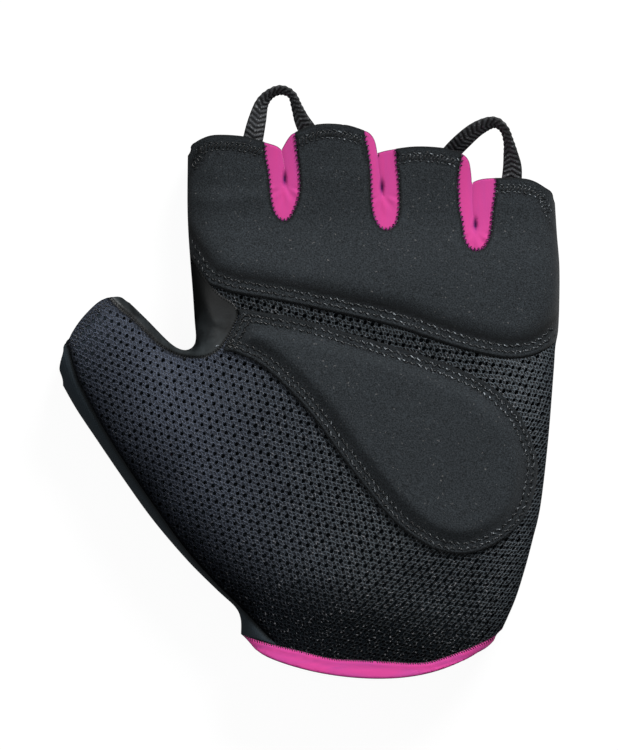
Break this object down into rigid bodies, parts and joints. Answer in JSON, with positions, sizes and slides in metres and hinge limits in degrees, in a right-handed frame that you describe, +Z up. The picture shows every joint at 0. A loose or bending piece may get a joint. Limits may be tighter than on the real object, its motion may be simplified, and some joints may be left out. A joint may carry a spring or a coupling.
{
  "type": "cycling glove",
  "caption": "Fingerless cycling glove lying palm up, hollow as worn, with a padded suede palm, mesh palm field, elastic finger sides and cuff binding, and webbing pull-off loops.",
  "frame": {"origin": "centre of the bounding box at the surface that the glove's back rests on", "axes": "+Z up out of the palm, +Y from the cuff towards the fingers, +X from the thumb towards the little finger"},
  "size_m": [0.1248, 0.1482, 0.0322],
  "materials": {
    "stretch_knit": "matt stretch knit",
    "spacer_mesh": "open spacer mesh with a faint yarn glint",
    "suede": "brushed synthetic suede, fine nap",
    "smooth_leather": "smooth, soft sheen",
    "elastic_fabric": "matt stretch fabric",
    "elastic_binding": "folded matt elastic binding",
    "webbing": "woven herringbone tape"
  },
  "bodies": {
    "root": {"back_panel": "stretch_knit", "palm_mesh": "spacer_mesh", "finger_panel": "suede", "heel_pad": "suede", "thumb_gusset": "smooth_leather", "cuff_binding": "elastic_binding", "fourchette_index_middle": "elastic_fabric", "fourchette_middle_ring": "elastic_fabric", "fourchette_ring_little": "elastic_fabric", "pull_loop_index_middle": "webbing", "pull_loop_ring_little": "webbing"}
  },
  "joints": []
}
